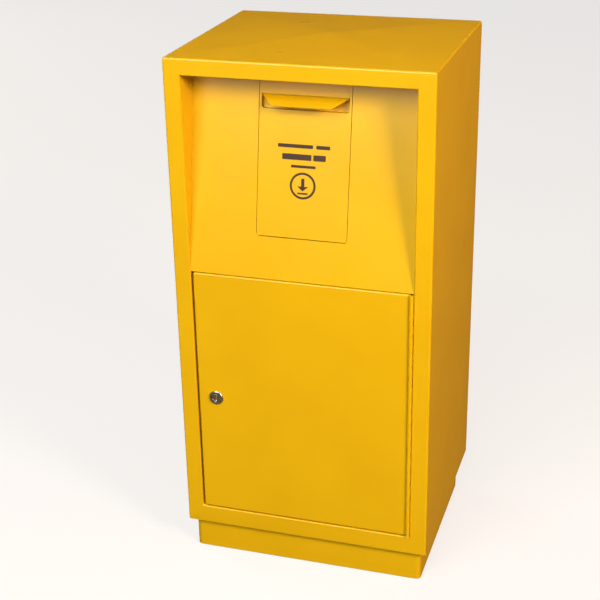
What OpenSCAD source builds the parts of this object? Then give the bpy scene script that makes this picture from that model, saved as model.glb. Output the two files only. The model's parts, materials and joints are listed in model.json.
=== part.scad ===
// Free-standing sharps cabinet. A folded steel body stands on a recessed plinth. A tilt-out
// flap with a pull lip fills the middle of a sloped recess, and a hinged door with a cam lock
// gives access to the loose inner bin.
// Millimetres. The origin is the centre of the body's footprint, on the floor.
// +Z is up and the front faces -Y.

/* [Body] */
// Width of the body over the side sheets
body_w = 406; // [390:1:430]
// Depth of the body, front face to back face
body_d = 348; // [330:1:380]
// Height of the body above the plinth
body_h = 785; // [770:1:820]
// Rise of the cross-broken top at its centre
top_rise = 9; // [3:0.5:12]
// Thickness of the folded body sheet
sheet = 1.5; // [1.2:0.1:1.6]
// Outside radius of the long vertical folds
fold_r = 3; // [2.5:0.5:5]

/* [Front opening] */
// Width of the opening between the stiles
opening_w = 352; // [340:1:360]
// Height of the rail above the opening
top_rail_h = 25.5; // [22:0.5:30]
// Height of the rail below the opening
bottom_rail_h = 30; // [26:1:34]
// Height of the door's share of the opening
door_zone_h = 423; // [410:1:430]
// Depth of the folded return behind each stile
return_d = 18; // [17:0.5:20]

/* [Recess] */
// Lean of the sloped panel from upright, in degrees
lean = 9.5; // [8:0.5:11]
// Set-back of the sloped panel at its lower edge
fascia_set = 1.5; // [1:0.5:3]

/* [Plinth] */
// Height of the plinth
plinth_h = 54; // [45:1:70]
// Set-back of the plinth from the front face
plinth_front_in = 8.5; // [5:0.5:20]
// Set-back of the plinth from each side
plinth_side_in = 10; // [5:0.5:20]
// Set-back of the plinth from the back
plinth_back_in = 32.5; // [10:0.5:40]

/* [Flap] */
// Width of the flap
flap_w = 139; // [138:0.5:142]
// Length of the flap along the slope
flap_l = 233; // [228:1:234]
// Distance from the sloped panel's lower edge to the flap
flap_low = 67; // [62:1:67]
// Seam around the flap
seam = 1.5; // [1.4:0.1:2]
// How far the flap tilts out, in degrees
flap_open = 40; // [30:1:42]
// How far the pull lip stands out
lip_out = 22; // [16:1:24]

/* [Door] */
// Gap above and below the door
door_gap = 1.6; // [1.2:0.1:2]
// Gap beside the door on its lock side
lock_gap = 3.4; // [1.6:0.1:4]
// Depth of the door's folded edges
door_depth = 12; // [11:0.5:13]
// Height of one hinge knuckle
knuckle_h = 12.7; // [10:0.1:20]
// Lock centre, sideways from the middle of the body
lock_x = -143; // [-146:1:-140]
// Lock centre above the body's underside
lock_up = 238; // [200:1:300]

/* [Inner bin] */
// Width of the inner bin
bin_w = 300; // [240:1:306]
// Depth of the inner bin
bin_d = 262; // [200:1:270]
// Height of the inner bin
bin_h = 405; // [300:1:410]

/* [Hidden] */
$fn = 64;
yellow = "#f2bd24";
steel = "#c9cccf";
dark_steel = "#8d9196";
rubber = "#2b2b2b";
nylon = "#ece9df";
plastic = "#d9dcdc";
ink = "#3a2a18";

front_y = -body_d / 2;
back_y = body_d / 2;
half_w = body_w / 2;
floor_z = plinth_h;
top_z = plinth_h + body_h;
open_x = opening_w / 2;
sill_z = floor_z + bottom_rail_h;
split_z = sill_z + door_zone_h;
lintel_z = top_z - top_rail_h;
touch = 0.1;                    // kept between sheets that only meet on an edge
past = 1;                       // how far a cutting shape runs past the face it cuts
six = 6;                        // sides of a hexagon head or nut
stop_w = 12;                    // width of the door stop behind each stile
plate = 1.2;                    // thickness of the inner sheets

// Sloped panel, measured along the slope from its lower edge
fascia_y0 = front_y + fascia_set;
fascia_l = (lintel_z - split_z) / cos(lean) - sheet * tan(lean) - touch;
fascia_top_y = fascia_y0 + (lintel_z - split_z) * tan(lean);

// Flap, in its own frame: X across, Y into the body, Z up the slope from its lower edge
pivot_in = 6.5;
pivot_up = 8;
rod_r = 2;
run_gap = 0.05;                 // radial gap of a pin that turns in a hole
window_w = 133.5;
window_low = 190.5;
window_high = 212;
window_r = 4.5;
pocket_d = 9;
lip_drop = 13.5;
lip_root_w = 130;
lip_tip_w = 89;
cheek_x = 68.2;                 // inner face of each flap cheek
bush_r = 3.6;
bush_gap = 0.02;
lug_r = 150;                    // radius at which the open stop sits
lug_w = 8;
tray_turn = 130;                // angle from the flap to its tray
tray_l = 88;
tray_off = 3;                   // the tray passes this far above the rod's centre
bracket_x = 74;
stop_tab_w = 100;
flap_z0 = split_z + flap_low * cos(lean);
flap_y0 = fascia_y0 + flap_low * sin(lean);
pivot_y = flap_y0 + pivot_up * sin(lean) + pivot_in * cos(lean);
pivot_z = flap_z0 + pivot_up * cos(lean) - pivot_in * sin(lean);

// Throat guard behind the flap
guard_y = pivot_y + 95;
guard_z = pivot_z + 15;
guard_w = 124;
roof_back_y = guard_y + 16;

// Piano hinge on the right
knuckle_r = 3.2;
pin_r = 1.45;
leaf = 1.2;
hinge_gap = 0.1;
hinge_x = open_x - hinge_gap - knuckle_r;
hinge_y = front_y - 0.5;
leaf_start = 3.4;               // the leaf begins this far behind the hinge's centre
leaf_end = 12;
knuckle_gap = 0.35;
hinge_rivet_r = 1.6;
hinge_rivet_n = 6;

// Door
door_l = -open_x + lock_gap;
door_r = hinge_x - knuckle_r - hinge_gap;
door_lo = sill_z + door_gap;
door_hi = split_z - door_gap;
door_h = door_hi - door_lo;
door_w = door_r - door_l;
door_mid_x = (door_l + door_r) / 2;
door_mid_z = (door_lo + door_hi) / 2;
door_corner_r = 4;
door_back = front_y + door_depth;
door_lip_w = 10;
knuckle_n = floor(door_h / knuckle_h);
hinge_lo = door_mid_z - knuckle_n * knuckle_h / 2;

// Cam lock
lock_z = floor_z + lock_up;
lock_face_r = 12;
lock_face_t = 2.6;
lock_barrel_r = 9.2;
lock_flat = 7.8;                // half width across the barrel's flats
lock_back = front_y + 21.5;
washer_t = 1;
plug_r = 6.5;
plug_in = 0.4;                  // the plug sits this far behind the lock's face
cam_t = 3;
cam_l = 32;
cam_w = 16;
cam_y = lock_back + 0.5;
cam_square = 7;

// Inner bin
bin_wall = 2.5;
bin_r = 22;
bin_front = front_y + 44;
bin_mid_y = bin_front + bin_d / 2;
bin_z = floor_z + sheet;
bin_top = bin_z + bin_h;
bin_rim = 7;
grip_z = bin_top - 45;
grip_w = 110;
grip_out = 12;
grip_strap = 2;
grip_rivet_r = 2.5;
grip_rivet_x = grip_w / 2 - 8;
guide_gap = 2;

// ---- shared shapes ----

// A block from its lowest corner to its highest corner
module block(lo, hi) {
    translate(lo) cube(hi - lo);
}

// A flat outline with round corners, centred
module rounded_rect(w, h, r) {
    square([w - 2 * r, h], center = true);
    square([w, h - 2 * r], center = true);
    for (x = [-1, 1], y = [-1, 1])
        translate([x * (w / 2 - r), y * (h / 2 - r)]) circle(r);
}

// An outline drawn in X and Z, made t thick from y backwards
module upright(y, t) {
    translate([0, y + t, 0]) rotate([90, 0, 0]) linear_extrude(t) children();
}

// A shape drawn in Y and Z, made t thick from x outwards
module edgewise(x, t) {
    translate([x, 0, 0]) rotate([90, 0, 90]) linear_extrude(t) children();
}

// Puts a shape drawn on the sloped panel in its place
module on_fascia() {
    translate([0, fascia_y0, split_z]) rotate([-lean, 0, 0]) children();
}

// Puts a shape drawn on the flap in its place
module on_flap() {
    on_fascia() translate([0, 0, flap_low]) children();
}

// A round bar along X from x0 to x1, through the flap's pivot
module pivot_bar(x0, x1, r) {
    translate([x0, pivot_in, pivot_up]) rotate([0, 90, 0]) cylinder(h = x1 - x0, r = r);
}

// A round bar along Y at the lock's centre
module lock_bar(y0, y1, r) {
    translate([lock_x, y0, lock_z]) rotate([-90, 0, 0]) cylinder(h = y1 - y0, r = r);
}

module both_sides() {
    children();
    mirror([1, 0, 0]) children();
}

// ---- body ----

// Cross-section of a side sheet with its front corner and stile, for the right side
module side_outline() {
    translate([half_w - sheet, front_y + fold_r]) square([sheet, body_d - fold_r]);
    translate([open_x, front_y]) square([half_w - fold_r - open_x, sheet]);
    translate([half_w - fold_r, front_y + fold_r]) intersection() {
        difference() {
            circle(fold_r);
            circle(fold_r - sheet);
        }
        translate([0, -fold_r]) square(fold_r);
    }
}

// Cross-section of the return and the door stop behind a stile
module return_outline() {
    translate([open_x, front_y + sheet]) square([sheet, return_d - sheet]);
    translate([open_x - stop_w, front_y + return_d - sheet]) square([stop_w, sheet]);
}

module side_sheet() {
    translate([0, 0, floor_z]) linear_extrude(body_h - sheet) side_outline();
    translate([0, 0, floor_z]) linear_extrude(split_z - floor_z) return_outline();
}

module side_left() {
    color(yellow) difference() {
        mirror([1, 0, 0]) side_sheet();
        strike_holes();
    }
}

module side_right() {
    color(yellow) difference() {
        side_sheet();
        hinge_holes(hinge_rivet_r + run_gap);
    }
}

module back_panel() {
    color(yellow)
        block([-half_w + sheet, back_y - sheet, floor_z + sheet],
              [half_w - sheet, back_y, top_z - sheet]);
}

// The top is a sheet folded along both diagonals, so that its centre stands up
module top_panel() {
    corners = [[-half_w, front_y], [half_w, front_y], [half_w, back_y], [-half_w, back_y]];
    lower = [for (c = corners) [c.x, c.y, top_z - sheet]];
    upper = [for (c = corners) [c.x, c.y, top_z]];
    middle = [[0, 0, top_z + top_rise - sheet], [0, 0, top_z + top_rise]];
    sides = [for (i = [0:3]) [i, 4 + i, 4 + (i + 1) % 4, (i + 1) % 4]];
    under = [for (i = [0:3]) [8, i, (i + 1) % 4]];
    over = [for (i = [0:3]) [9, 4 + (i + 1) % 4, 4 + i]];
    color(yellow) polyhedron(concat(lower, upper, middle), concat(sides, under, over));
}

module top_rail() {
    color(yellow)
        block([-open_x, front_y, lintel_z], [open_x, front_y + sheet, top_z - sheet]);
}

module bottom_rail() {
    color(yellow) {
        block([-open_x, front_y, floor_z], [open_x, front_y + sheet, sill_z]);
        block([-open_x, front_y, sill_z - sheet],
              [open_x, front_y + return_d - sheet, sill_z]);
    }
}

module floor_panel() {
    color(yellow)
        block([-half_w + sheet, front_y + return_d, floor_z],
              [half_w - sheet, back_y, floor_z + sheet]);
}

module recess_roof() {
    wide = open_x + sheet;
    color(yellow) difference() {
        block([-wide, front_y + sheet, lintel_z], [wide, roof_back_y, lintel_z + sheet]);
        guard_holes();
    }
}

// Triangular wall from a stile's edge to the sloped panel, for the right side
module recess_wall() {
    back = sheet / cos(lean);
    color(yellow) edgewise(open_x, sheet) polygon([
        [front_y + sheet, split_z],
        [fascia_y0 + back, split_z],
        [fascia_top_y + back, lintel_z],
        [front_y + sheet, lintel_z]
    ]);
}

module recess_wall_right() {
    recess_wall();
}

module recess_wall_left() {
    mirror([1, 0, 0]) recess_wall();
}

module fascia_panel() {
    hole_w = flap_w + 2 * seam;
    hole_l = flap_l + 2 * seam;
    hole_r = 6;
    shelf_lap = 4;                  // shelf's reach behind the stiles' returns
    color(yellow) {
        on_fascia() difference() {
            upright(0, sheet) translate([0, fascia_l / 2])
                square([opening_w, fascia_l], center = true);
            upright(-past, sheet + 2 * past) {
                translate([0, flap_low - seam + hole_l / 2]) rounded_rect(hole_w, hole_l, hole_r);
                translate([0, flap_low - seam + hole_l - hole_r])
                    square([hole_w, 2 * hole_r], center = true);
            }
        }
        block([-open_x, fascia_y0 + sheet, split_z],
              [open_x, front_y + return_d + shelf_lap, split_z + sheet]);
    }
}

// ---- plinth ----

plinth_x = half_w - plinth_side_in;
plinth_y0 = front_y + plinth_front_in;
plinth_y1 = back_y - plinth_back_in;
plinth_foot = 20;

module plinth_front() {
    color(yellow) {
        block([-plinth_x, plinth_y0, 0], [plinth_x, plinth_y0 + sheet, plinth_h]);
        block([-plinth_x + sheet, plinth_y0, 0],
              [plinth_x - sheet, plinth_y0 + plinth_foot, sheet]);
    }
}

module plinth_back() {
    color(yellow) {
        block([-plinth_x, plinth_y1 - sheet, 0], [plinth_x, plinth_y1, plinth_h]);
        block([-plinth_x + sheet, plinth_y1 - plinth_foot, 0],
              [plinth_x - sheet, plinth_y1, sheet]);
    }
}

module plinth_side() {
    color(yellow) {
        block([plinth_x - sheet, plinth_y0 + sheet, 0],
              [plinth_x, plinth_y1 - sheet, plinth_h]);
        block([plinth_x - plinth_foot, plinth_y0 + plinth_foot, 0],
              [plinth_x, plinth_y1 - plinth_foot, sheet]);
    }
}

module plinth_right() {
    plinth_side();
}

module plinth_left() {
    mirror([1, 0, 0]) plinth_side();
}

// ---- piano hinge ----

function knuckle_z(i) = hinge_lo + i * knuckle_h;
function hinge_rivet_z(i) = hinge_lo + door_h * (i + 0.5) / hinge_rivet_n;

// Knuckles from the first one, every second one, with the tab that joins each to its leaf.
// side is 1 for the stile's leaf and -1 for the door's
module knuckles(first, side) {
    for (i = [first:2:knuckle_n - 1])
        translate([hinge_x, hinge_y, knuckle_z(i) + knuckle_gap / 2])
            linear_extrude(knuckle_h - knuckle_gap) difference() {
                union() {
                    circle(knuckle_r);
                    translate([side > 0 ? knuckle_r - leaf : -knuckle_r, 0])
                        square([leaf, leaf_start + touch]);
                }
                circle(pin_r + run_gap);
            }
}

module hinge_leaf(first, side) {
    x0 = hinge_x + (side > 0 ? knuckle_r - leaf : -knuckle_r);
    difference() {
        union() {
            knuckles(first, side);
            block([x0, hinge_y + leaf_start, hinge_lo],
                  [x0 + leaf, hinge_y + leaf_end, hinge_lo + knuckle_n * knuckle_h]);
        }
        hinge_holes(hinge_rivet_r + run_gap);
    }
}

// Bars along X for the rivet holes through both leaves and the sheets behind them
module hinge_holes(r) {
    reach = 12;
    for (i = [0:hinge_rivet_n - 1])
        translate([hinge_x - reach, hinge_y + (leaf_start + leaf_end) / 2, hinge_rivet_z(i)])
            rotate([0, 90, 0]) cylinder(h = 2 * reach, r = r);
}

// Rivets with their heads on the leaf's inner face
module hinge_rivets(side) {
    head_r = 2.8;
    head_t = 0.9;
    tail = 1;                       // shank left behind the sheet
    grip = leaf + hinge_gap + sheet + tail;
    for (i = [0:hinge_rivet_n - 1])
        translate([hinge_x + side * (knuckle_r - leaf),
                   hinge_y + (leaf_start + leaf_end) / 2, hinge_rivet_z(i)])
            rotate([0, side * 90, 0]) {
                cylinder(h = grip, r = hinge_rivet_r);
                translate([0, 0, -head_t]) cylinder(h = head_t, r1 = head_r - head_t, r2 = head_r);
            }
}

module hinge_leaf_frame() {
    color(yellow) hinge_leaf(0, 1);
}

module hinge_leaf_door() {
    color(yellow) hinge_leaf(1, -1);
}

module hinge_pin() {
    color(steel) translate([hinge_x, hinge_y, hinge_lo])
        cylinder(h = knuckle_n * knuckle_h, r = pin_r);
}

module hinge_rivets_frame() {
    color(steel) hinge_rivets(1);
}

module hinge_rivets_door() {
    color(steel) hinge_rivets(-1);
}

// ---- flap pivot, stops and guard ----

module pivot_brackets() {
    web = 2;
    web_low = -8;
    web_high = 32;
    web_deep = 12;
    foot_w = 16;
    foot_low = pivot_up + 6;
    color(steel) on_flap() both_sides() difference() {
        union() {
            block([bracket_x, sheet, web_low], [bracket_x + web, sheet + web_deep, web_high]);
            block([bracket_x, sheet, foot_low], [bracket_x + foot_w, sheet + web, web_high]);
        }
        pivot_bar(bracket_x - past, bracket_x + web + past, rod_r + run_gap);
    }
}

module pivot_rod() {
    rod_out = 6;                    // reach past each bracket's inner face
    color(steel) on_flap() pivot_bar(-bracket_x - rod_out, bracket_x + rod_out, rod_r);
}

module rod_clips() {
    clip_x = bracket_x + 2.3;
    clip_t = 1;
    clip_r = rod_r + 1.8;
    mouth = 1.5;
    color(dark_steel) on_flap() both_sides() difference() {
        pivot_bar(clip_x, clip_x + clip_t, clip_r);
        pivot_bar(clip_x - past, clip_x + clip_t + past, rod_r + run_gap);
        block([clip_x - past, pivot_in - 2 * clip_r, pivot_up - mouth],
              [clip_x + clip_t + past, pivot_in, pivot_up + mouth]);
    }
}

// Joggled strip behind the top edge of the flap
stop_in = 4.5;

module flap_stop_bracket() {
    half = stop_tab_w / 2;
    bend = flap_l + seam + 1;
    lap = 9;                        // overlap of the strip behind the flap
    high = fascia_l - flap_low - 0.5;
    color(steel) on_flap() {
        block([-half, sheet, bend], [half, 2 * sheet, high]);
        block([-half, sheet, bend], [half, stop_in + sheet, bend + sheet]);
        block([-half, stop_in, flap_l - lap], [half, stop_in + sheet, bend + sheet]);
    }
}

module flap_stop_pads() {
    pad_x = 30;
    pad_w = 14;
    pad_low = flap_l - 8;
    pad_high = flap_l - 1;
    color(rubber) on_flap() both_sides()
        block([pad_x, sheet + touch, pad_low], [pad_x + pad_w, stop_in, pad_high]);
}

guard_screw_in = 8;
guard_screw_r = 2;

// Places a shape at each of the guard's two screws
module at_guard_screws() {
    for (x = [-1, 1])
        translate([x * guard_w / 3, guard_y + guard_screw_in, lintel_z]) children();
}

module guard_holes() {
    slack = 0.2;
    at_guard_screws() translate([0, 0, -plate - past])
        cylinder(h = plate + sheet + 2 * past, r = guard_screw_r + slack);
}

module throat_guard() {
    flange = 15;
    hem = 8;
    color(steel) difference() {
        union() {
            block([-guard_w / 2, guard_y, guard_z], [guard_w / 2, guard_y + plate, lintel_z]);
            block([-guard_w / 2, guard_y, lintel_z - plate],
                  [guard_w / 2, guard_y + flange, lintel_z]);
            block([-guard_w / 2, guard_y, guard_z],
                  [guard_w / 2, guard_y + hem, guard_z + plate]);
        }
        guard_holes();
    }
}

module guard_screws() {
    head_r = 4;
    head_t = 2.4;
    shank_l = 8;
    nut_t = 3.2;
    color(steel) at_guard_screws() {
        translate([0, 0, -plate - head_t]) cylinder(h = shank_l, r = guard_screw_r);
        translate([0, 0, -plate - head_t]) cylinder(h = head_t, r = head_r);
        translate([0, 0, sheet]) cylinder(h = nut_t, r = head_r, $fn = six);
    }
}

// ---- door stop side ----

strike_h = 40;
strike_t = 3.2;
strike_rivet_r = 1.6;
strike_rivet_up = 14;

// Places a shape at each of the strike's two rivets
module at_strike_rivets() {
    for (z = [-1, 1])
        translate([-open_x + stop_w / 2, front_y + return_d - sheet, lock_z + z * strike_rivet_up])
            rotate([-90, 0, 0]) children();
}

module strike_holes() {
    at_strike_rivets() translate([0, 0, -past])
        cylinder(h = sheet + strike_t + 2 * past, r = strike_rivet_r + run_gap);
}

module strike_plate() {
    y0 = front_y + return_d;
    color(steel) difference() {
        block([-open_x + 1, y0, lock_z - strike_h / 2],
              [-open_x + stop_w, y0 + strike_t, lock_z + strike_h / 2]);
        strike_holes();
    }
}

module strike_rivets() {
    head_t = 1;
    head_r = 2.6;
    color(dark_steel) at_strike_rivets() {
        cylinder(h = sheet + strike_t, r = strike_rivet_r);
        translate([0, 0, -head_t]) cylinder(h = head_t, r = head_r);
    }
}

module door_stop_pads() {
    pad_r = 4.5;
    pad_in = 40;                    // pad's distance from each end of the door
    pad_gap = 0.3;
    pad_t = return_d - sheet - door_depth - pad_gap;
    color(rubber) for (z = [door_lo + pad_in, door_hi - pad_in])
        translate([-open_x + stop_w / 2, door_back + pad_gap, z]) rotate([-90, 0, 0])
            cylinder(h = pad_t, r = pad_r);
}

// ---- inner bin ----

module bin_guides() {
    guide_x = bin_w / 2 + guide_gap;
    leg = 16;
    color(steel) both_sides() {
        block([guide_x, bin_front, bin_z], [guide_x + plate, bin_front + bin_d, bin_z + leg]);
        block([guide_x, bin_front, bin_z], [guide_x + leg, bin_front + bin_d, bin_z + plate]);
    }
}

module inner_bin() {
    base = 3;
    rim_t = 3;
    color(plastic) difference() {
        translate([0, bin_mid_y, bin_z]) difference() {
            union() {
                linear_extrude(bin_h) rounded_rect(bin_w, bin_d, bin_r);
                translate([0, 0, bin_h - rim_t])
                    linear_extrude(rim_t)
                        rounded_rect(bin_w + 2 * bin_rim, bin_d + 2 * bin_rim, bin_r + bin_rim);
            }
            translate([0, 0, base]) linear_extrude(bin_h)
                rounded_rect(bin_w - 2 * bin_wall, bin_d - 2 * bin_wall, bin_r - bin_wall);
        }
        grip_holes();
    }
}

// Places a shape at each of the grip's two rivets
module at_grip_rivets() {
    for (x = [-1, 1])
        translate([x * grip_rivet_x, bin_front, grip_z]) rotate([-90, 0, 0]) children();
}

module grip_holes() {
    at_grip_rivets() translate([0, 0, -grip_strap - past])
        cylinder(h = grip_strap + bin_wall + 2 * past, r = grip_rivet_r + run_gap);
}

// Strap handle: two feet on the bin's front wall and a bar standing off between them
module bin_grip() {
    tall = 18;
    foot = 16;
    bend = grip_w / 2 - foot;
    color(steel) difference() {
        translate([0, bin_front, grip_z - tall / 2]) {
            both_sides() {
                block([bend - grip_strap, -grip_strap, 0], [grip_w / 2, 0, tall]);
                block([bend - grip_strap, -grip_out, 0], [bend, 0, tall]);
            }
            block([-bend, -grip_out, 0], [bend, grip_strap - grip_out, tall]);
        }
        grip_holes();
    }
}

module bin_grip_rivets() {
    head_t = 1.6;
    head_r = 4.2;
    tail_t = 1.4;
    color(dark_steel) at_grip_rivets() {
        translate([0, 0, -grip_strap]) cylinder(h = grip_strap + bin_wall, r = grip_rivet_r);
        translate([0, 0, -grip_strap - head_t])
            cylinder(h = head_t, r1 = head_r - head_t, r2 = head_r);
        translate([0, 0, bin_wall]) cylinder(h = tail_t, r = head_r);
    }
}

// ---- door ----

module door_outline(inset) {
    translate([door_mid_x, door_mid_z])
        rounded_rect(door_w - 2 * inset, door_h - 2 * inset, door_corner_r - inset);
}

// Outline of the lock's hole or barrel: a circle with two upright flats
module lock_outline(gap) {
    translate([lock_x, lock_z]) intersection() {
        circle(lock_barrel_r + gap);
        square([2 * (lock_flat + gap), 4 * lock_barrel_r], center = true);
    }
}

module door_skin() {
    lip_z = 20;
    color(yellow) difference() {
        union() {
            upright(front_y, sheet) door_outline(0);
            upright(front_y, door_depth) difference() {
                door_outline(0);
                door_outline(sheet);
            }
            block([door_l + touch, door_back - sheet, door_lo + lip_z],
                  [door_l + sheet + door_lip_w, door_back, door_hi - lip_z]);
            block([door_r - sheet - door_lip_w, door_back - sheet, door_lo + lip_z],
                  [door_r - touch, door_back, door_hi - lip_z]);
        }
        upright(front_y - past, sheet + 2 * past) lock_outline(2 * touch);
        hinge_holes(hinge_rivet_r + run_gap);
    }
}

// Hat-shaped channel up the middle of the door's inner face
module door_stiffener() {
    half = 22;
    brim = 14;
    end_in = 16;                    // distance from each end of the door
    low = door_lo + end_in;
    high = door_hi - end_in;
    y0 = front_y + sheet;
    y1 = door_back - 1;
    color(yellow) translate([door_mid_x, 0, 0]) {
        block([-half, y1 - plate, low], [half, y1, high]);
        both_sides() {
            block([half - plate, y0, low], [half, y1, high]);
            block([half - plate, y0, low], [half + brim, y0 + plate, high]);
        }
    }
}

// ---- lock ----

module lock_housing() {
    face_edge = 1.2;
    color(steel) difference() {
        union() {
            lock_bar(front_y - lock_face_t + face_edge, front_y, lock_face_r);
            translate([lock_x, front_y - lock_face_t, lock_z]) rotate([-90, 0, 0])
                cylinder(h = face_edge, r1 = lock_face_r - face_edge, r2 = lock_face_r);
            upright(front_y - touch, lock_back - front_y + touch) lock_outline(0);
        }
        lock_bar(front_y - lock_face_t - past, lock_back + past, plug_r + run_gap);
    }
}

module lock_washer() {
    washer_r = 12.5;
    color(dark_steel) difference() {
        lock_bar(front_y + sheet, front_y + sheet + washer_t, washer_r);
        upright(front_y, sheet + washer_t + past) lock_outline(touch);
    }
}

module lock_nut() {
    nut_t = 5;
    nut_y = front_y + sheet + washer_t;
    nut_r = 13.6;
    color(dark_steel) difference() {
        translate([lock_x, nut_y, lock_z]) rotate([-90, 0, 0])
            cylinder(h = nut_t, r = nut_r, $fn = six);
        lock_bar(nut_y - past, nut_y + nut_t + past, lock_barrel_r + run_gap);
    }
}

// Plug with an upright keyway in its face and a square tail for the cam
module lock_plug() {
    key_w = 1.8;
    key_h = 8.4;
    key_deep = 9;
    neck = 0.2;
    half = cam_square / 2;
    face_y = front_y - lock_face_t + plug_in;
    color(steel) difference() {
        union() {
            lock_bar(face_y, cam_y - neck, plug_r);
            block([lock_x - half, cam_y - 2 * neck, lock_z - half],
                  [lock_x + half, cam_y + cam_t, lock_z + half]);
        }
        block([lock_x - key_w / 2, face_y - past, lock_z - key_h / 2],
              [lock_x + key_w / 2, face_y + key_deep, lock_z + key_h / 2]);
    }
}

// Cam arm, hanging down when the lock is open
module lock_cam() {
    half = cam_square / 2 + touch;
    color(dark_steel) upright(cam_y, cam_t) difference() {
        union() {
            translate([lock_x, lock_z]) circle(cam_w / 2);
            translate([lock_x - cam_w / 2, lock_z - cam_l]) square([cam_w, cam_l]);
        }
        translate([lock_x - half, lock_z - half]) square(2 * half);
    }
}

module cam_screw() {
    disc_r = 6.5;
    disc_t = 1;
    head_r = 5;
    head_t = 3;
    disc_y = cam_y + cam_t;
    color(steel) {
        lock_bar(disc_y, disc_y + disc_t, disc_r);
        translate([lock_x, disc_y + disc_t, lock_z]) rotate([-90, 0, 0])
            cylinder(h = head_t, r = head_r, $fn = six);
    }
}

// ---- flap ----

module flap_skin() {
    corner_r = 5;
    mid = (window_low + window_high) / 2;
    color(yellow) on_flap() difference() {
        upright(0, sheet) {
            translate([0, flap_l / 2]) rounded_rect(flap_w, flap_l, corner_r);
            translate([0, flap_l - corner_r]) square([flap_w, 2 * corner_r], center = true);
        }
        upright(-past, sheet + 2 * past) {
            translate([0, mid]) rounded_rect(window_w, window_high - window_low, window_r);
            translate([0, window_high - window_r])
                square([window_w, 2 * window_r], center = true);
        }
    }
}

// Pressed tray behind the window
module pull_pocket() {
    high = window_high - window_low;
    mid = (window_low + window_high) / 2;
    color(yellow) on_flap() difference() {
        upright(sheet, pocket_d + plate) translate([0, mid])
            rounded_rect(window_w + 2 * plate, high + 2 * plate, window_r + plate);
        upright(sheet - past, pocket_d + past) translate([0, mid])
            rounded_rect(window_w, high, window_r);
        block([-window_w / 2, sheet - past, window_high - window_r],
              [window_w / 2, sheet + pocket_d, window_high - touch]);
    }
}

// Folded lip that comes out of the window's top edge, with slanted ends
module pull_lip() {
    slope = atan2(lip_drop, lip_out);
    reach = sqrt(lip_out * lip_out + lip_drop * lip_drop);
    root_drop = 0.6;
    color(yellow) on_flap() translate([0, 0, window_high - sheet - root_drop])
        rotate([slope, 0, 0])
            linear_extrude(sheet) polygon([
                [-lip_root_w / 2, sheet],
                [lip_root_w / 2, sheet],
                [lip_root_w / 2, 0],
                [lip_tip_w / 2, -reach],
                [-lip_tip_w / 2, -reach],
                [-lip_root_w / 2, 0]
            ]);
}

// Side cheek for the right side: fills between the flap and its tray, with the open stop
module flap_cheek() {
    stop_gap = 0.3;
    edge_turn = 2.5;                // cheek's edge runs this many degrees past its stop
    boss_r = pivot_in - sheet;
    lug_l = 14;
    front_low = pivot_up + 8;
    front_high = window_low - 4;
    heel = [pivot_in - 1, pivot_up - 4.5];
    tail_rise = [10, 14];
    lug_turn = flap_open - asin((boss_r - stop_gap) / lug_r);
    far_turn = lug_turn + edge_turn;
    pivot = [pivot_in, pivot_up];
    tail = pivot + tray_l * [sin(tray_turn), cos(tray_turn)];
    color(steel) on_flap() {
        difference() {
            edgewise(cheek_x, plate) {
                translate(pivot) circle(boss_r);
                polygon([
                    [sheet, front_low],
                    [sheet, front_high],
                    pivot + lug_r * [sin(far_turn), cos(far_turn)],
                    tail + tail_rise,
                    tail,
                    heel
                ]);
            }
            pivot_bar(cheek_x - past, cheek_x + plate + past, bush_r + bush_gap);
        }
        translate([cheek_x, pivot_in, pivot_up]) rotate([-lug_turn, 0, 0])
            block([0, 0, lug_r - lug_l], [plate + lug_w, sheet, lug_r]);
    }
}

module flap_cheek_right() {
    flap_cheek();
}

module flap_cheek_left() {
    mirror([1, 0, 0]) flap_cheek();
}

// Tray that carries the waste back from the flap, down the slope when the flap is shut
module flap_tray() {
    half = cheek_x - touch;
    flange_low = pivot_up + 4.5;
    flange_high = pivot_up + 26;
    tray_start = -8.8;              // where the tray meets its flange, from the rod's centre
    tray_end = tray_l - 3;
    color(steel) on_flap() {
        block([-half, sheet, flange_low], [half, sheet + plate, flange_high]);
        translate([0, pivot_in, pivot_up]) rotate([-tray_turn, 0, 0])
            block([-half, -tray_off - plate, tray_start], [half, -tray_off, tray_end]);
    }
}

module pivot_bushes() {
    collar_t = 1;
    collar_r = bush_r + 1.2;
    outer = cheek_x + plate + collar_t;
    color(nylon) on_flap() both_sides() difference() {
        union() {
            pivot_bar(cheek_x, outer, bush_r);
            pivot_bar(cheek_x + plate, outer, collar_r);
        }
        pivot_bar(cheek_x - past, outer + past, rod_r + run_gap);
    }
}

// Printed marks on the flap: three rows of bars over a plain deposit sign
sign_z = 79.5;                  // height of the sign's centre on the flap

// An arrow pointing down at a short line, drawn round the sign's centre
module deposit_arrow() {
    stem = [5, 12];
    head = [17, 7];
    base = [16, 2.5];
    head_top = -1;
    base_mid = -11.5;
    translate([-stem.x / 2, head_top]) square(stem);
    polygon([[-head.x / 2, head_top], [head.x / 2, head_top], [0, head_top - head.y]]);
    translate([0, base_mid]) square(base, center = true);
}

module flap_marks() {
    ink_t = 0.15;
    bar_r = 1.2;
    sign_r = 20;
    sign_ring = 3.3;
    // Each bar is its centre sideways, its centre up the flap, its width and its height
    bars = [[-13, 138, 54, 5.4], [29.5, 138, 21, 5.4], [-10.5, 122, 45, 8.8],
            [24.5, 122, 19, 8.8], [0, 108, 38, 4]];
    color(ink) on_flap() upright(-ink_t, ink_t) {
        for (bar = bars)
            translate([bar[0], bar[1]]) rounded_rect(bar[2], bar[3], bar_r);
        translate([0, sign_z]) {
            difference() {
                circle(sign_r);
                circle(sign_r - sign_ring);
            }
            deposit_arrow();
        }
    }
}

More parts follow.
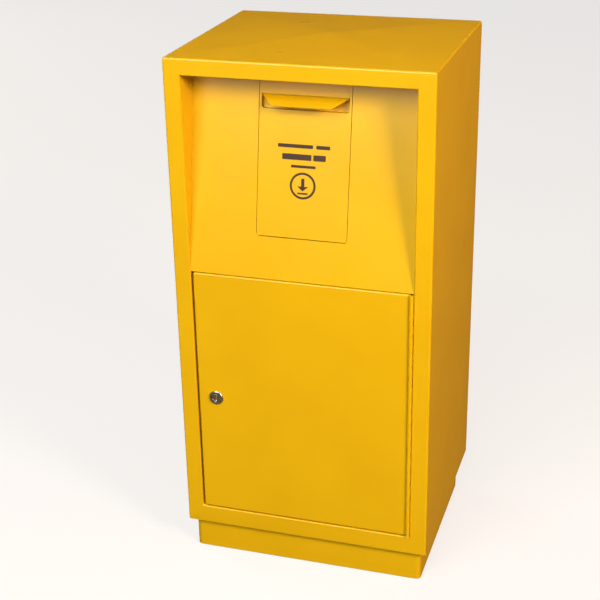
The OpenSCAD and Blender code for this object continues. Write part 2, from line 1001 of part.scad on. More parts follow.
side_left();
side_right();
back_panel();
top_panel();
top_rail();
bottom_rail();
floor_panel();
recess_roof();
recess_wall_left();
recess_wall_right();
fascia_panel();
plinth_front();
plinth_back();
plinth_left();
plinth_right();
hinge_leaf_frame();
hinge_pin();
hinge_rivets_frame();
pivot_brackets();
pivot_rod();
rod_clips();
flap_stop_bracket();
flap_stop_pads();
throat_guard();
guard_screws();
strike_plate();
strike_rivets();
door_stop_pads();
bin_guides();
inner_bin();
bin_grip();
bin_grip_rivets();
door_skin();
door_stiffener();
hinge_leaf_door();
hinge_rivets_door();
lock_housing();
lock_washer();
lock_nut();
lock_plug();
lock_cam();
cam_screw();
flap_skin();
pull_pocket();
pull_lip();
flap_cheek_left();
flap_cheek_right();
flap_tray();
pivot_bushes();
flap_marks();
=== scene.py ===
import json
import math

import bmesh
import bpy
from bpy.props import FloatProperty, PointerProperty, StringProperty
from mathutils import Matrix, Vector


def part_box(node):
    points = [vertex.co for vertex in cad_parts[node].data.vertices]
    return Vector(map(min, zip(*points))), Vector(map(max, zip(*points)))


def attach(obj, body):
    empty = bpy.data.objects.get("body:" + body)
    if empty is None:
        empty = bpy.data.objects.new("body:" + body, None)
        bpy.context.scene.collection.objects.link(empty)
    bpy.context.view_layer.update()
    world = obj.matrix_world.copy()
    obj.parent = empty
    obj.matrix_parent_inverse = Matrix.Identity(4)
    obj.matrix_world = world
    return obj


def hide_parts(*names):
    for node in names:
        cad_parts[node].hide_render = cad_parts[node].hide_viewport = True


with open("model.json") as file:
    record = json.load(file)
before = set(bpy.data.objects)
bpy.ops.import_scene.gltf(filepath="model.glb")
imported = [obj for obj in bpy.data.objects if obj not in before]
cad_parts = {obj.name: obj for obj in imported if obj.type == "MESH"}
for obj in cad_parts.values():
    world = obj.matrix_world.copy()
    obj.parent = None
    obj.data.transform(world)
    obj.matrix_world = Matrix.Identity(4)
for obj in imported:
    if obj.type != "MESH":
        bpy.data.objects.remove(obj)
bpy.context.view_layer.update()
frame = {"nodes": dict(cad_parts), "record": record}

bl_info = {
    "name": "Sharps cabinet",
    "version": (1, 0, 0),
    "blender": (4, 5, 0),
    "location": "View3D > Sidebar > Cabinet",
    "description": "Builds the folded-steel sharps cabinet round its frame",
    "category": "Object",
}

MM = 0.001


# ---- measures taken from the frame ----

SIDE_LOW, SIDE_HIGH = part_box("side_left")
RIGHT_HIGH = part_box("side_right")[1]
RAIL_LOW, RAIL_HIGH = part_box("top_rail")
SILL_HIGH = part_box("bottom_rail")[1]
TOP_LOW, TOP_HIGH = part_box("top_panel")
ROOF_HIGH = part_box("recess_roof")[1]
WALL_LOW, WALL_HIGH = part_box("recess_wall_right")
DOOR_LOW, DOOR_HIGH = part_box("door_skin")
FLAP_LOW, FLAP_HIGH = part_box("flap_skin")
PLINTH_LOW = Vector(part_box("plinth_left")[0])
PLINTH_HIGH = Vector(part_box("plinth_right")[1])
PLINTH_LOW.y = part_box("plinth_front")[0][1]
PLINTH_HIGH.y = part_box("plinth_back")[1][1]
FRONT = SIDE_LOW[1]
BACK = SIDE_HIGH[1]
OPEN_X = RAIL_HIGH[0]

# ---- measures the frame's boxes don't give ----

SHEET = 1.5 * MM
LEAN = math.radians(9.5)                # slope of the recess panel and the flap
FASCIA_SET = 1.5 * MM                   # recess panel's foot behind the front
STOP_LIP = 12 * MM                      # door's stops, behind the stiles
PLINTH_FOOT = 20 * MM                   # plinth's inward feet
PLINTH_FOOT_RADIUS = 1.5 * MM
DOOR_CORNER = 4 * MM
DOOR_LIP = 11 * MM
FLAP_SHEET = 1.3 * MM
FLAP_TALL = 233 * MM                    # up the slope
FLAP_CORNER = 5 * MM
FLAP_FOLD = 8 * MM
POCKET_LOW, POCKET_HIGH, POCKET_DEEP = 190.5 * MM, 212 * MM, 9 * MM
POCKET_CORNER = 4.5 * MM
SMOOTH_ANGLE = math.radians(35)
LOOSE = 0.1 * MM                        # slack where an earlier step has moved an edge


# ---- small helpers ----

def linear(hex_colour):
    """An sRGB hex colour as linear RGBA."""
    parts = [int(hex_colour[i:i + 2], 16) / 255 for i in (1, 3, 5)]
    return [c / 12.92 if c <= 0.04045 else ((c + 0.055) / 1.055) ** 2.4 for c in parts] + [1.0]


def deselect_all():
    """Object mode with nothing selected."""
    if bpy.context.object and bpy.context.object.mode != "OBJECT":
        bpy.ops.object.mode_set(mode="OBJECT")
    bpy.ops.object.select_all(action="DESELECT")


def activate(piece):
    """Makes piece the only selected object."""
    deselect_all()
    piece.select_set(True)
    bpy.context.view_layer.objects.active = piece


def new_block(name, low, high):
    """A block between two corners, with its place in its mesh."""
    deselect_all()
    low, high = Vector(low), Vector(high)
    bpy.ops.mesh.primitive_cube_add(size=1, location=(low + high) / 2, scale=high - low)
    piece = bpy.context.object
    piece.name = piece.data.name = name
    bpy.ops.object.transform_apply(location=True, rotation=True, scale=True)
    return piece


def pick(piece, kind, test):
    """In edit mode, selects the faces, edges or verts for which test is true, and nothing else."""
    mode = {"faces": "FACE", "edges": "EDGE", "verts": "VERT"}[kind]
    bpy.ops.mesh.select_mode(type=mode)
    bpy.ops.mesh.select_all(action="DESELECT")
    mesh = bmesh.from_edit_mesh(piece.data)
    found = [part for part in getattr(mesh, kind) if test(part)]
    for part in found:
        part.select_set(True)
    mesh.select_flush_mode()
    bmesh.update_edit_mesh(piece.data)
    if not found:
        raise RuntimeError(f"nothing to select on {piece.name}")


def near(a, b, slack=1e-5):
    """True where two lengths are the same to a hundredth of a millimetre."""
    return abs(a - b) < slack


def ends(edge):
    """The two end points of an edge."""
    return [v.co for v in edge.verts]


def along(edge, axis):
    """True for an edge that runs along an axis."""
    a, b = ends(edge)
    step = b - a
    return all(abs(step[i]) < 1e-6 for i in range(3) if i != axis)


def at(edge, axis, place):
    """True for an edge with both ends at a place on an axis."""
    return all(near(p[axis], place) for p in ends(edge))


def direction(azimuth, elevation):
    """The unit vector toward an azimuth and elevation in degrees; the front is at azimuth 0."""
    a, e = math.radians(azimuth), math.radians(elevation)
    return Vector((math.sin(a) * math.cos(e), -math.cos(a) * math.cos(e), math.sin(e)))


def push(offset):
    """Extrudes what is selected by an offset."""
    bpy.ops.mesh.extrude_region_move(TRANSFORM_OT_translate={"value": tuple(offset)})


def bevel(width, segments, affect="EDGES"):
    """Rounds what is selected."""
    bpy.ops.mesh.bevel(offset_type="OFFSET", offset=width, segments=segments, profile=0.5,
                       affect=affect, clamp_overlap=True)


def modify(piece, kind, name, **settings):
    """Adds a modifier with its settings."""
    modifier = piece.modifiers.new(name, kind)
    for key, value in settings.items():
        setattr(modifier, key, value)
    return modifier


def apply_modifiers(piece):
    """Applies all of a piece's modifiers."""
    activate(piece)
    for modifier in list(piece.modifiers):
        bpy.ops.object.modifier_apply(modifier=modifier.name)


def complete(piece, material, body, slot, *nodes):
    """Shades a new piece, gives it its finish, and lets it stand for its nodes."""
    activate(piece)
    bpy.ops.object.shade_smooth_by_angle(angle=SMOOTH_ANGLE)
    modify(piece, "WEIGHTED_NORMAL", "even_normals", keep_sharp=True, weight=80)
    apply_modifiers(piece)
    piece.data.materials.clear()
    piece.data.materials.append(material)
    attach(piece, body)
    if nodes:
        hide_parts(*nodes)


def add_node(tree, kind, settings=None, inputs=None, links=None):
    """Adds a shader node with its settings, input values and links."""
    node = tree.nodes.new(kind)
    for key, value in (settings or {}).items():
        setattr(node, key, value)
    for key, value in (inputs or {}).items():
        node.inputs[key].default_value = value
    for key, source in (links or {}).items():
        tree.links.new(source, node.inputs[key])
    return node


def new_material(name):
    """An empty material and its shader."""
    material = bpy.data.materials.new(name)
    material.use_nodes = True
    shader = next(n for n in material.node_tree.nodes if n.type == "BSDF_PRINCIPLED")
    return material, material.node_tree, shader


def ramp(node, *stops):
    """Sets a colour ramp's stops."""
    elements = node.color_ramp.elements
    while len(elements) > 1:
        elements.remove(elements[-1])
    elements[0].position, elements[0].color = stops[0][0], stops[0][1]
    for position, colour in stops[1:]:
        elements.new(position).color = colour


# ---- finishes ----

def powder_coat(looks):
    """Yellow polyester powder coat, sprayed and stoved: glossy with fine orange peel."""
    material, tree, shader = new_material("yellow powder coat")
    place = add_node(tree, "ShaderNodeTexCoord").outputs["Object"]
    # Film thickness drifts over a hand's width, which shifts the yellow a little
    drift = add_node(tree, "ShaderNodeTexNoise", inputs={"Scale": 9, "Detail": 2, "Roughness": 0.5},
                     links={"Vector": place})
    tone = add_node(tree, "ShaderNodeValToRGB", links={"Fac": drift.outputs["Fac"]})
    base = linear(looks.coat_colour)
    thin = [c * f for c, f in zip(base, (0.965, 0.945, 0.90, 1))]
    ramp(tone, (0.35, thin), (0.65, base))
    # Handling marks: faint soft smudges, 20 to 60 mm across, that dull the gloss
    smudge = add_node(tree, "ShaderNodeTexNoise",
                      inputs={"Scale": 15, "Detail": 1.5, "Roughness": 0.5}, links={"Vector": place})
    dull = add_node(tree, "ShaderNodeMapRange",
                    inputs={"From Min": 0.2, "From Max": 0.8, "To Min": looks.coat_roughness,
                            "To Max": looks.coat_roughness + 0.05},
                    links={"Value": smudge.outputs["Fac"]})
    # Orange peel: real cells are about 2 mm across, drawn at 4.5 mm so that they show
    peel = add_node(tree, "ShaderNodeTexNoise",
                    inputs={"Scale": 1 / (4.5 * MM), "Detail": 1.0, "Roughness": 0.4},
                    links={"Vector": place})
    bump = add_node(tree, "ShaderNodeBump", inputs={"Strength": looks.peel, "Distance": 0.12 * MM},
                    links={"Height": peel.outputs["Fac"]})
    tree.links.new(tone.outputs["Color"], shader.inputs["Base Color"])
    tree.links.new(dull.outputs["Result"], shader.inputs["Roughness"])
    tree.links.new(bump.outputs["Normal"], shader.inputs["Normal"])
    shader.inputs["IOR"].default_value = 1.5
    return material


def zinc_plate():
    """Zinc-plated sheet: bright grey with a faint spangle and rolling direction."""
    material, tree, shader = new_material("zinc-plated steel")
    place = add_node(tree, "ShaderNodeTexCoord").outputs["Object"]
    # Spangle cells 6 mm across
    spangle = add_node(tree, "ShaderNodeTexVoronoi", inputs={"Scale": 1 / (6 * MM)},
                       links={"Vector": place})
    tone = add_node(tree, "ShaderNodeValToRGB", links={"Fac": spangle.outputs["Color"]})
    ramp(tone, (0.1, linear("#b9bcbf")), (0.9, linear("#d2d4d6")))
    streak = add_node(tree, "ShaderNodeTexNoise",
                      inputs={"Scale": 140, "Detail": 3, "Roughness": 0.6}, links={"Vector": place})
    rough = add_node(tree, "ShaderNodeMapRange", inputs={"To Min": 0.36, "To Max": 0.48},
                     links={"Value": streak.outputs["Fac"]})
    tree.links.new(tone.outputs["Color"], shader.inputs["Base Color"])
    tree.links.new(rough.outputs["Result"], shader.inputs["Roughness"])
    shader.inputs["Metallic"].default_value = 1.0
    return material


def machined_metal(name, light, dark, low, high, grain):
    """Plated or polished metal whose fine tumbling scratches vary its roughness and bump; the same
    noise mottles its colour light and dark: random tone on the fasteners, painted reflection on the
    lock's chrome.
    """
    material, tree, shader = new_material(name)
    place = add_node(tree, "ShaderNodeTexCoord").outputs["Object"]
    marks_and_painted_reflection = add_node(tree, "ShaderNodeTexNoise",
                     inputs={"Scale": 1 / grain, "Detail": 4, "Roughness": 0.65},
                     links={"Vector": place})
    # The colour's light and dark mottle follows the same noise; on the lock's chrome it is painted
    # reflection
    tone = add_node(tree, "ShaderNodeValToRGB", links={"Fac": marks_and_painted_reflection.outputs["Fac"]})
    ramp(tone, (0.3, linear(dark)), (0.7, linear(light)))
    rough = add_node(tree, "ShaderNodeMapRange", inputs={"To Min": low, "To Max": high},
                     links={"Value": marks_and_painted_reflection.outputs["Fac"]})
    bump = add_node(tree, "ShaderNodeBump", inputs={"Strength": 0.08, "Distance": 0.03 * MM},
                    links={"Height": marks_and_painted_reflection.outputs["Fac"]})
    tree.links.new(tone.outputs["Color"], shader.inputs["Base Color"])
    tree.links.new(rough.outputs["Result"], shader.inputs["Roughness"])
    tree.links.new(bump.outputs["Normal"], shader.inputs["Normal"])
    shader.inputs["Metallic"].default_value = 1.0
    return material


def moulded(name, light, dark, roughness, ior, grain, depth):
    """Moulded plastic or rubber with the fine texture of its mould."""
    material, tree, shader = new_material(name)
    place = add_node(tree, "ShaderNodeTexCoord").outputs["Object"]
    cloud = add_node(tree, "ShaderNodeTexNoise", inputs={"Scale": 18, "Detail": 3},
                     links={"Vector": place})
    tone = add_node(tree, "ShaderNodeValToRGB", links={"Fac": cloud.outputs["Fac"]})
    ramp(tone, (0.3, linear(dark)), (0.7, linear(light)))
    texture = add_node(tree, "ShaderNodeTexNoise", inputs={"Scale": 1 / grain, "Detail": 2},
                       links={"Vector": place})
    rough = add_node(tree, "ShaderNodeMapRange",
                     inputs={"To Min": roughness - 0.05, "To Max": roughness + 0.07},
                     links={"Value": texture.outputs["Fac"]})
    bump = add_node(tree, "ShaderNodeBump", inputs={"Strength": 0.2, "Distance": depth},
                    links={"Height": texture.outputs["Fac"]})
    tree.links.new(tone.outputs["Color"], shader.inputs["Base Color"])
    tree.links.new(rough.outputs["Result"], shader.inputs["Roughness"])
    tree.links.new(bump.outputs["Normal"], shader.inputs["Normal"])
    shader.inputs["IOR"].default_value = ior
    return material


FINISHES = {}


def finish(slot):
    """The material of a slot, made on first use."""
    if slot in FINISHES:
        return FINISHES[slot]
    if slot == "powder_coat":
        made = powder_coat(bpy.context.scene.cabinet_looks)
    elif slot == "zinc_steel":
        made = zinc_plate()
    elif slot == "fastener_steel":
        # Dull zinc on small turned and stamped parts
        made = machined_metal("dull plated fasteners", "#b4b7ba", "#9ca0a3", 0.34, 0.5, 1.5 * MM)
    elif slot == "lock_chrome":
        # Chrome on a zinc casting, its gloss uneven with wear from keys; the strong light and dark
        # mottle in its colour is painted reflection
        made = machined_metal("chrome-plated zinc", "#f2efe8", "#8c8478", 0.2, 0.42, 3.5 * MM)
    elif slot == "pad_rubber":
        made = moulded("black rubber", "#232323", "#1a1a1a", 0.72, 1.52, 0.8 * MM, 0.05 * MM)
    elif slot == "bin_plastic":
        # Polypropylene: satin with a soft mould grain
        made = moulded("moulded polypropylene", "#d4d7d8", "#c8cccd", 0.42, 1.49, 1.2 * MM, 0.05 * MM)
    elif slot == "label_ink":
        # Screen ink: thin, slightly uneven, with the coat's sheen dulled
        made = moulded("screen-printed ink", "#3f2206", "#2f1804", 0.5, 1.5, 1.0 * MM, 0.02 * MM)
    elif slot == "nylon":
        made = moulded("natural nylon", "#e8e4d8", "#dcd7c8", 0.45, 1.53, 1.0 * MM, 0.03 * MM)
    else:
        raise RuntimeError(f"no finish for {slot}")
    FINISHES[slot] = made
    return made


# ---- settings ----

class CabinetSizes(bpy.types.PropertyGroup):
    """Radii that a user may change."""
    fold_radius: FloatProperty(name="Corner radius", unit="LENGTH", default=3.0 * MM,
                               description="Outside radius of the body's corners")
    rim_radius: FloatProperty(name="Opening radius", unit="LENGTH", default=2.4 * MM,
                              description="Fold radius round the front opening")
    opening_radius: FloatProperty(name="Opening corner radius", unit="LENGTH", default=4.5 * MM,
                                  description="Radius of the front opening's lower corners")
    door_radius: FloatProperty(name="Door edge radius", unit="LENGTH", default=2.4 * MM,
                               description="Fold radius of the door's edges")
    plinth_radius: FloatProperty(name="Plinth corner radius", unit="LENGTH", default=8.5 * MM,
                                 description="Radius of the plinth's upright corners")
    part_radius: FloatProperty(name="Small edge radius", unit="LENGTH", default=0.35 * MM,
                               description="Broken edge on brackets, strips and fittings")


class CabinetLooks(bpy.types.PropertyGroup):
    """Colours and gloss that a user may change."""
    coat_colour: StringProperty(name="Coat colour", default="#dcb00a",
                                description="Base colour of the powder coat")
    coat_roughness: FloatProperty(name="Coat roughness", default=0.27, min=0, max=1,
                                  description="Roughness of a clean stretch of coat")
    peel: FloatProperty(name="Orange peel", default=0.35, min=0, max=1,
                        description="Strength of the orange peel")
    floor_colour: StringProperty(name="Floor colour", default="#7d7d7b",
                                 description="Hex colour of the floor")


# ---- pieces ----

class CABINET_OT_shell(bpy.types.Operator):
    """Builds the folded body: sides, cross-broken top, front frame, returns and recess walls"""
    bl_idname = "cabinet.shell"
    bl_label = "Body shell"

    def execute(self, context):
        sizes = context.scene.cabinet_sizes
        low = Vector((SIDE_LOW[0], FRONT, SIDE_LOW[2]))
        high = Vector((RIGHT_HIGH[0], BACK, TOP_LOW[2] + SHEET))
        top = high.z
        rise = TOP_HIGH[2] - top
        sill, lintel = SILL_HIGH[2], RAIL_LOW[2]
        split = WALL_LOW[2]
        shell = new_block("body_shell", low, high)
        bpy.ops.object.mode_set(mode="EDIT")
        # The front face takes an inset whose edges then move to the opening's own places
        stile = high.x - OPEN_X
        pick(shell, "faces", lambda f: near(f.calc_center_median().y, FRONT))
        bpy.ops.mesh.inset(thickness=stile, use_even_offset=True)
        inside = lambda v: abs(v.co.x) < OPEN_X + LOOSE
        pick(shell, "verts", lambda v: inside(v) and v.co.z > split)
        bpy.ops.transform.translate(value=(0, 0, lintel - (top - stile)))
        pick(shell, "verts", lambda v: inside(v) and v.co.z < split)
        bpy.ops.transform.translate(value=(0, 0, sill - (low.z + stile)))
        # The opening is parted at the recess's foot, then cut out with the back and underside
        opening = lambda f: near(f.calc_center_median().y, FRONT) and \
            all(abs(v.co.x) < OPEN_X + LOOSE for v in f.verts)
        pick(shell, "faces", opening)
        bpy.ops.mesh.bisect(plane_co=(0, 0, split), plane_no=(0, 0, 1))
        pick(shell, "faces", lambda f: opening(f) or near(f.calc_center_median().y, BACK)
             or near(f.calc_center_median().z, low.z))
        bpy.ops.mesh.delete(type="FACE")
        # Recess walls and roof fold back from the opening's upper part
        rim = lambda e: len(e.link_faces) == 1 and at(e, 1, FRONT)
        wall_deep = WALL_HIGH[1] - FRONT
        set_back = FASCIA_SET + SHEET / math.cos(LEAN)
        pick(shell, "edges", lambda e: rim(e) and min(p.z for p in ends(e)) > split - LOOSE
             and max(p.z for p in ends(e)) < top - 1 * MM)
        push((0, wall_deep, 0))
        rear = FRONT + wall_deep
        pick(shell, "verts", lambda v: near(v.co.y, rear, LOOSE) and near(v.co.z, split, LOOSE))
        bpy.ops.transform.translate(value=(0, set_back - wall_deep, 0))
        pick(shell, "edges", lambda e: at(e, 1, rear) and at(e, 2, lintel))
        push((0, ROOF_HIGH[1] - rear, 0))
        # Returns behind the lower stiles and the sill, and the door's stops behind the stiles
        back_fold = SILL_HIGH[1] - FRONT
        pick(shell, "edges", lambda e: rim(e) and max(p.z for p in ends(e)) < split + LOOSE
             and min(p.z for p in ends(e)) > low.z + 1 * MM)
        push((0, back_fold, 0))
        behind = FRONT + back_fold
        for side in (-1, 1):
            pick(shell, "edges", lambda e: at(e, 1, behind) and at(e, 0, side * OPEN_X))
            push((-side * (STOP_LIP - SHEET), 0, 0))
        # The top is cross-broken: creased along both diagonals so that its middle stands up
        pick(shell, "faces", lambda f: near(f.calc_center_median().z, top)
             and abs(f.normal.z) > 0.9)
        bpy.ops.mesh.poke(offset=rise)
        pick(shell, "edges", lambda e: max(p.z for p in ends(e)) > top + rise / 2)
        bpy.ops.mesh.mark_sharp()
        # Folds: upright corners and top edge, then the opening's rim
        outer = lambda e: (along(e, 2) and at(e, 1, FRONT) and near(abs(ends(e)[0].x), high.x)) \
            or (at(e, 2, top) and (at(e, 1, FRONT) or at(e, 0, low.x) or at(e, 0, high.x)))
        pick(shell, "edges", outer)
        bevel(sizes.fold_radius, 5)
        pick(shell, "edges", lambda e: along(e, 1) and at(e, 2, sill)
             and near(abs(ends(e)[0].x), OPEN_X))
        bevel(sizes.opening_radius, 4)
        folded = lambda e: len(e.link_faces) == 2 and at(e, 1, FRONT) and \
            all(abs(p.x) < OPEN_X + LOOSE and p.z < lintel + LOOSE and p.z > sill - LOOSE
                for p in ends(e))
        pick(shell, "edges", folded)
        bevel(sizes.rim_radius, 3)
        bpy.ops.mesh.select_all(action="SELECT")
        bpy.ops.mesh.remove_doubles(threshold=1e-6)
        bpy.ops.object.mode_set(mode="OBJECT")
        modify(shell, "SOLIDIFY", "sheet", thickness=SHEET, offset=-1, use_even_offset=True)
        apply_modifiers(shell)
        complete(shell, finish("powder_coat"), "cabinet", "powder_coat", "side_left", "side_right",
                 "top_panel", "top_rail", "bottom_rail", "recess_roof", "recess_wall_left",
                 "recess_wall_right")
        return {"FINISHED"}


class CABINET_OT_plinth(bpy.types.Operator):
    """Builds the plinth as one folded ring with inward feet"""
    bl_idname = "cabinet.plinth"
    bl_label = "Plinth"

    def execute(self, context):
        sizes = context.scene.cabinet_sizes
        plinth = new_block("plinth", PLINTH_LOW, PLINTH_HIGH)
        bpy.ops.object.mode_set(mode="EDIT")
        pick(plinth, "faces", lambda f: near(f.calc_center_median().z, PLINTH_LOW.z))
        bpy.ops.mesh.inset(thickness=PLINTH_FOOT, use_even_offset=True)
        pick(plinth, "faces", lambda f: near(f.calc_center_median().z, PLINTH_HIGH.z)
             or all(abs(v.co.x) < PLINTH_HIGH.x - PLINTH_FOOT + LOOSE for v in f.verts))
        bpy.ops.mesh.delete(type="FACE")
        pick(plinth, "edges", lambda e: along(e, 2))
        bevel(sizes.plinth_radius, 5)
        upright = lambda f: abs(f.normal.z) < 0.1
        pick(plinth, "edges", lambda e: at(e, 2, PLINTH_LOW.z) and len(e.link_faces) == 2
             and any(upright(f) for f in e.link_faces))
        bevel(PLINTH_FOOT_RADIUS, 3)
        bpy.ops.object.mode_set(mode="OBJECT")
        modify(plinth, "SOLIDIFY", "sheet", thickness=SHEET, offset=-1, use_even_offset=True)
        apply_modifiers(plinth)
        complete(plinth, finish("powder_coat"), "cabinet", "powder_coat", "plinth_front",
                 "plinth_back", "plinth_left", "plinth_right")
        return {"FINISHED"}


class CABINET_OT_door(bpy.types.Operator):
    """Builds the door as a pan with rounded folds and turned-in lips"""
    bl_idname = "cabinet.door"
    bl_label = "Door"

    def execute(self, context):
        sizes = context.scene.cabinet_sizes
        # Half a millimetre more gap under the door than the bare sheet has. The sheet isn't
        # pierced here: the lock's barrel and the hinge's rivets run through it.
        door_foot = DOOR_LOW[2] + 0.5 * MM
        door = new_block("door_panel", (DOOR_LOW[0], DOOR_LOW[1], door_foot), DOOR_HIGH)
        bpy.ops.object.mode_set(mode="EDIT")
        pick(door, "faces", lambda f: near(f.calc_center_median().y, DOOR_HIGH[1]))
        bpy.ops.mesh.delete(type="ONLY_FACE")
        pick(door, "edges", lambda e: along(e, 1))
        bevel(DOOR_CORNER, 5)
        pick(door, "edges", lambda e: at(e, 1, DOOR_LOW[1]))
        bevel(sizes.door_radius, 4)
        for x, turn in ((DOOR_LOW[0], 1), (DOOR_HIGH[0], -1)):
            pick(door, "edges", lambda e: along(e, 2) and at(e, 0, x) and at(e, 1, DOOR_HIGH[1]))
            push((turn * DOOR_LIP, 0, 0))
        bpy.ops.object.mode_set(mode="OBJECT")
        modify(door, "SOLIDIFY", "sheet", thickness=SHEET, offset=-1, use_even_offset=True)
        apply_modifiers(door)
        complete(door, finish("powder_coat"), "door", "powder_coat", "door_skin")
        return {"FINISHED"}


class CABINET_OT_flap(bpy.types.Operator):
    """Builds the flap with its pressed pull pocket in one sheet"""
    bl_idname = "cabinet.flap"
    bl_label = "Flap"

    def execute(self, context):
        # The seam is a little closer at the sides and the foot than the bare sheet's
        half, foot = FLAP_HIGH[0] + 0.7 * MM, -0.35 * MM
        window_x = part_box("pull_pocket")[1][0] - 1.2 * MM
        flap = new_block("flap_panel", (-half, 0, foot), (half, POCKET_DEEP, FLAP_TALL))
        bpy.ops.object.mode_set(mode="EDIT")
        pick(flap, "faces", lambda f: f.calc_center_median().y > LOOSE)
        bpy.ops.mesh.delete(type="FACE")
        for place, normal in (((-window_x, 0, 0), (1, 0, 0)), ((window_x, 0, 0), (1, 0, 0)),
                              ((0, 0, POCKET_LOW), (0, 0, 1)), ((0, 0, POCKET_HIGH), (0, 0, 1))):
            bpy.ops.mesh.select_all(action="SELECT")
            bpy.ops.mesh.bisect(plane_co=place, plane_no=normal)
        pick(flap, "faces", lambda f: abs(f.calc_center_median().x) < 1 * MM
             and POCKET_LOW < f.calc_center_median().z < POCKET_HIGH)
        push((0, POCKET_DEEP, 0))
        pick(flap, "edges", lambda e: along(e, 1)
             and all(p.z < POCKET_LOW + LOOSE for p in ends(e)))
        bevel(POCKET_CORNER, 5)
        pick(flap, "edges", lambda e: len(e.link_faces) == 2 and at(e, 1, 0) and
             any(abs(f.normal.y) < 0.5 for f in e.link_faces))
        bevel(0.9 * MM, 3)
        pick(flap, "edges", lambda e: at(e, 1, POCKET_DEEP) and len(e.link_faces) == 2 and
             any(abs(f.normal.y) < 0.5 for f in e.link_faces))
        bevel(1.8 * MM, 3)
        pick(flap, "verts", lambda v: near(abs(v.co.x), half) and near(v.co.z, foot))
        bevel(FLAP_CORNER, 5, affect="VERTICES")
        # Folded edges at the sides and foot. The side ones aren't pierced: the pivot rod runs
        # through them, and they overlap the cheeks.
        pick(flap, "edges", lambda e: len(e.link_faces) == 1 and at(e, 1, 0)
             and min(p.z for p in ends(e)) < FLAP_TALL - 1 * MM)
        push((0, FLAP_FOLD, 0))
        pick(flap, "edges", lambda e: at(e, 1, 0) and len(e.link_faces) == 2
             and any(abs(f.normal.y) < 0.1 and near(f.calc_center_median().y, FLAP_FOLD / 2, LOOSE)
                     for f in e.link_faces))
        bevel(0.6 * MM, 3)
        bpy.ops.mesh.select_all(action="SELECT")
        bpy.ops.mesh.remove_doubles(threshold=1e-6)
        bpy.ops.object.mode_set(mode="OBJECT")
        modify(flap, "SOLIDIFY", "sheet", thickness=FLAP_SHEET, offset=-1, use_even_offset=True)
        apply_modifiers(flap)
        flap.rotation_euler = (-LEAN, 0, 0)
        flap.location = (0, FLAP_LOW[1], FLAP_LOW[2] + SHEET * math.sin(LEAN))
        bpy.ops.object.transform_apply(location=True, rotation=True, scale=True)
        complete(flap, finish("powder_coat"), "chute", "powder_coat", "flap_skin", "pull_pocket")
        return {"FINISHED"}


class CABINET_OT_fittings(bpy.types.Operator):
    """Gives the frame's own parts their broken edges and finishes"""
    bl_idname = "cabinet.fittings"
    bl_label = "Fittings"

    def execute(self, context):
        sizes = context.scene.cabinet_sizes
        slots = {part["node"]: part["material_slot"] for part in frame["record"]["subparts"]}
        for name, part in frame["nodes"].items():
            slot = slots[name]
            part.data.materials.clear()
            part.data.materials.append(finish(slot))
            if name == "flap_marks":
                continue
            width = {"hinge_leaf_door": 0.15 * MM, "hinge_leaf_frame": 0.15 * MM,
                     "inner_bin": 0.9 * MM, "pull_lip": 0.6 * MM}.get(name, sizes.part_radius)
            modify(part, "WELD", "closed_mesh", merge_threshold=1e-6)
            modify(part, "BEVEL", "broken_edge", width=width, segments=2, limit_method="ANGLE",
                   angle_limit=math.radians(32), use_clamp_overlap=True)
            modify(part, "WEIGHTED_NORMAL", "even_normals", keep_sharp=True)
        return {"FINISHED"}


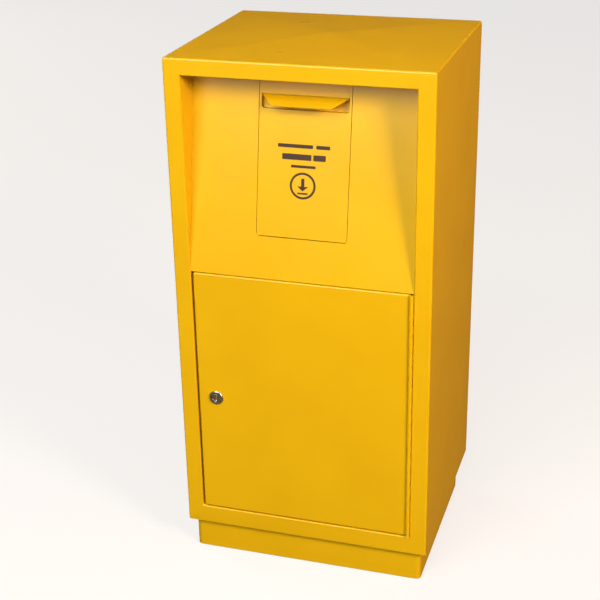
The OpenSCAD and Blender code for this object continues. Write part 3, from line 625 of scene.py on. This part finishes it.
class CABINET_OT_stage(bpy.types.Operator):
    """Builds the floor, the lights and the camera"""
    bl_idname = "cabinet.stage"
    bl_label = "Stage"

    def execute(self, context):
        looks = context.scene.cabinet_looks
        scene = context.scene
        deselect_all()
        bpy.ops.mesh.primitive_plane_add(size=40, location=(0, 0, 0))
        floor = context.object
        floor.name = "studio_floor"
        material, tree, shader = new_material("pale studio floor")
        shader.inputs["Base Color"].default_value = linear(looks.floor_colour)
        shader.inputs["Roughness"].default_value = 0.8
        shader.inputs["Emission Color"].default_value = (1, 1, 1, 1)
        shader.inputs["Emission Strength"].default_value = 0.72
        floor.data.materials.append(material)
        # An upright drum of the same finish stands far behind, so low views stay pale
        deselect_all()
        bpy.ops.mesh.primitive_cylinder_add(vertices=96, radius=14, depth=20, end_fill_type="NOTHING",
                                            location=(0, 0, 10))
        backdrop = context.object
        backdrop.name = "studio_backdrop"
        bpy.ops.object.shade_smooth()
        backdrop.data.materials.append(material)
        for sheet in (floor, backdrop):
            sheet.visible_glossy = sheet.visible_diffuse = False
        backdrop.visible_shadow = False

        world = bpy.data.worlds.new("studio")
        scene.world = world
        world.use_nodes = True
        back = world.node_tree.nodes["Background"]
        back.inputs["Color"].default_value = linear("#ffcf9c")
        back.inputs["Strength"].default_value = 0.12

        middle = Vector((0, 0, 0.45))
        # Each light is its name, direction, distance, size, power and colour
        for name, azimuth, elevation, distance, size, power, colour in (
                ("key_softbox", 56, 27, 3.2, 0.8, 100, "#ffdfbe"),
                ("front_softbox", -12, 32.5, 3.4, 2.3, 111, "#ffffff"),
                ("top_softbox", 20, 86, 2.6, 1.6, 10, "#ffdfbe"),
                ("right_softbox", 94, 9, 6.0, 2.2, 40, "#ffdfbe"),
                ("left_back_softbox", 246, 9, 6.0, 2.4, 160, "#fff0e0")):
            away = direction(azimuth, elevation)
            bpy.ops.object.light_add(type="AREA", location=middle + distance * away)
            lamp = context.object
            lamp.name = name
            lamp.data.shape = "SQUARE"
            lamp.data.size = size
            lamp.data.energy = power
            lamp.data.color = linear(colour)[:3]
            lamp.rotation_euler = (-away).to_track_quat("-Z", "Y").to_euler()

        away, roll = direction(17.67, 23.70), math.radians(-1.13)
        bpy.ops.object.camera_add(location=(0.5534, -1.9094, 1.2781))
        camera = context.object
        camera.data.lens = 78.85
        camera.data.sensor_width = 36
        turn = (-away).to_track_quat("-Z", "Y").to_matrix() @ Matrix.Rotation(roll, 3, "Z")
        camera.rotation_euler = turn.to_euler()
        scene.camera = camera
        scene.view_settings.view_transform = "Standard"
        return {"FINISHED"}


class CABINET_PT_panel(bpy.types.Panel):
    """Lists the cabinet's pieces and settings"""
    bl_idname = "CABINET_PT_panel"
    bl_label = "Sharps cabinet"
    bl_space_type = "VIEW_3D"
    bl_region_type = "UI"
    bl_category = "Cabinet"

    def draw(self, context):
        for group in (context.scene.cabinet_sizes, context.scene.cabinet_looks):
            box = self.layout.box()
            for key in group.__annotations__:
                box.prop(group, key)
        for step in STEPS:
            self.layout.operator(step.bl_idname)


STEPS = (CABINET_OT_shell, CABINET_OT_plinth, CABINET_OT_door, CABINET_OT_flap,
         CABINET_OT_fittings, CABINET_OT_stage)
CLASSES = (CabinetSizes, CabinetLooks, *STEPS, CABINET_PT_panel)


def register():
    for cls in CLASSES:
        bpy.utils.register_class(cls)
    bpy.types.Scene.cabinet_sizes = PointerProperty(type=CabinetSizes)
    bpy.types.Scene.cabinet_looks = PointerProperty(type=CabinetLooks)


def unregister():
    del bpy.types.Scene.cabinet_looks
    del bpy.types.Scene.cabinet_sizes
    for cls in reversed(CLASSES):
        bpy.utils.unregister_class(cls)


def main():
    register()
    bpy.ops.cabinet.shell()
    bpy.ops.cabinet.plinth()
    bpy.ops.cabinet.door()
    bpy.ops.cabinet.flap()
    bpy.ops.cabinet.fittings()
    bpy.ops.cabinet.stage()
    deselect_all()


if __name__ == "__main__":
    main()
